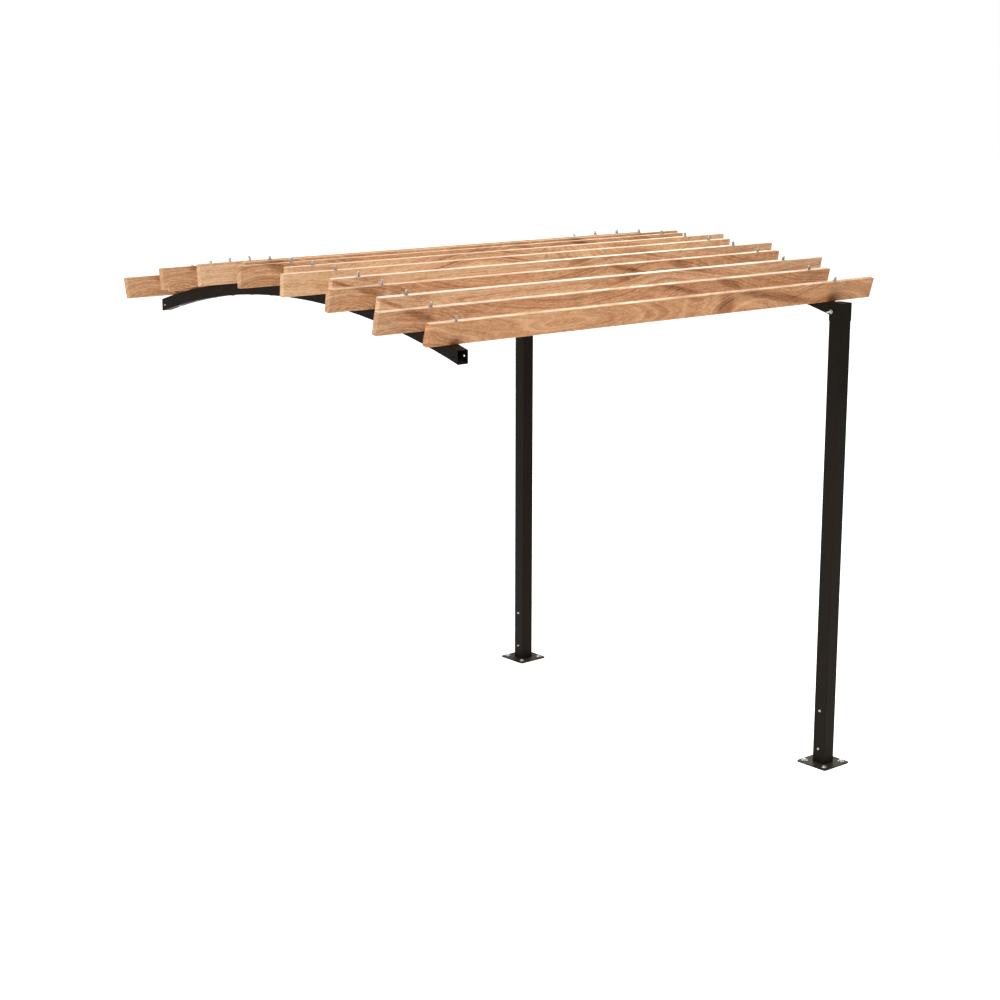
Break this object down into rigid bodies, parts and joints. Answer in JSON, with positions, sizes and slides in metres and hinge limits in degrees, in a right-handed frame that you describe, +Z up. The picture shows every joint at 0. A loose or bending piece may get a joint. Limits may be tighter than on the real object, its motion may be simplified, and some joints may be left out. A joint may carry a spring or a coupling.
{
  "type": "pergola",
  "caption": "Lean-on pergola bay: wooden slats on edge over two arched tube beams, with posts under one beam only.",
  "frame": {"origin": "centre of the front base plate's underside, on the front post's axis", "axes": "+X runs along the slats from the beam with no posts to the beam on the posts, +Y runs from the front post to the rear post, +Z is up"},
  "size_m": [2.694, 2.348, 2.4267],
  "materials": {
    "coated_steel": "satin black powder coat",
    "timber": "light oiled softwood",
    "zinc_steel": "bright zinc plate"
  },
  "bodies": {
    "root": {"front_base_plate": "coated_steel", "rear_base_plate": "coated_steel", "front_post": "coated_steel", "rear_post": "coated_steel", "front_post_cap": "coated_steel", "rear_post_cap": "coated_steel", "left_beam": "coated_steel", "right_beam": "coated_steel", "slat_01": "timber", "slat_02": "timber", "slat_03": "timber", "slat_04": "timber", "slat_05": "timber", "slat_06": "timber", "slat_07": "timber", "slat_08": "timber", "slat_09": "timber", "slat_10": "timber", "slat_11": "timber", "slat_12": "timber", "slat_13": "timber", "slat_14": "timber", "left_slat_bolts": "zinc_steel", "right_slat_bolts": "zinc_steel", "front_cross_bolt": "zinc_steel", "rear_cross_bolt": "zinc_steel", "front_foot_bolts": "zinc_steel", "rear_foot_bolts": "zinc_steel"}
  },
  "joints": []
}
